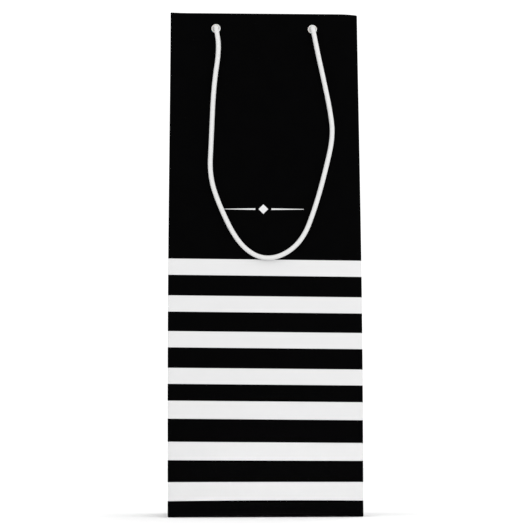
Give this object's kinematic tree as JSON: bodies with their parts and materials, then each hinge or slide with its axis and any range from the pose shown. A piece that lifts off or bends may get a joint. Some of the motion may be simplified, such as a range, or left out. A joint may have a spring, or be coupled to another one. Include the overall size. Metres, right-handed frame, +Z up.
{
  "type": "wine gift bag",
  "caption": "Tall gusseted paper bag that carries one wine bottle by two knotted cord handles that swing up from their eyelets.",
  "frame": {"origin": "middle of the base, on the surface that the bag stands on", "axes": "+X to the bag's right as its front is seen, +Y from the front wall to the rear wall, +Z up to the mouth"},
  "size_m": [0.127, 0.0934, 0.34],
  "materials": {
    "printed_paper": "satin",
    "board": "matte",
    "eyelet": "satin",
    "cord": "matte"
  },
  "bodies": {
    "bag": {"base_board": "board", "front_base_flap": "printed_paper", "front_hem": "printed_paper", "front_left_cord_end": "cord", "front_left_eyelet": "eyelet", "front_left_washer": "eyelet", "front_right_cord_end": "cord", "front_right_eyelet": "eyelet", "front_right_washer": "eyelet", "front_top_board": "board", "front_wall_lower": "printed_paper", "front_wall_upper": "printed_paper", "left_base_flap": "printed_paper", "left_gusset_front": "printed_paper", "left_gusset_hem_front": "printed_paper", "left_gusset_hem_rear": "printed_paper", "left_gusset_rear": "printed_paper", "left_side_lower": "printed_paper", "rear_base_flap": "printed_paper", "rear_hem": "printed_paper", "rear_left_cord_end": "cord", "rear_left_eyelet": "eyelet", "rear_left_washer": "eyelet", "rear_right_cord_end": "cord", "rear_right_eyelet": "eyelet", "rear_right_washer": "eyelet", "rear_top_board": "board", "rear_wall_lower": "printed_paper", "rear_wall_upper": "printed_paper", "right_base_flap": "printed_paper", "right_gusset_front": "printed_paper", "right_gusset_hem_front": "printed_paper", "right_gusset_hem_rear": "printed_paper", "right_gusset_rear": "printed_paper", "right_side_lower": "printed_paper", "seam_tab": "printed_paper"},
    "front_handle": {"front_handle_cord": "cord"},
    "rear_handle": {"rear_handle_cord": "cord"}
  },
  "joints": [
    {"name": "front_handle_swing", "type": "hinge", "parent": "bag", "child": "front_handle", "pos_m": [0, -0.04334, 0.32888], "axis": [-1, 0, 0], "range_deg": [0, 178]},
    {"name": "rear_handle_swing", "type": "hinge", "parent": "bag", "child": "rear_handle", "pos_m": [0, 0.04334, 0.32888], "axis": [1, 0, 0], "range_deg": [0, 178]}
  ]
}
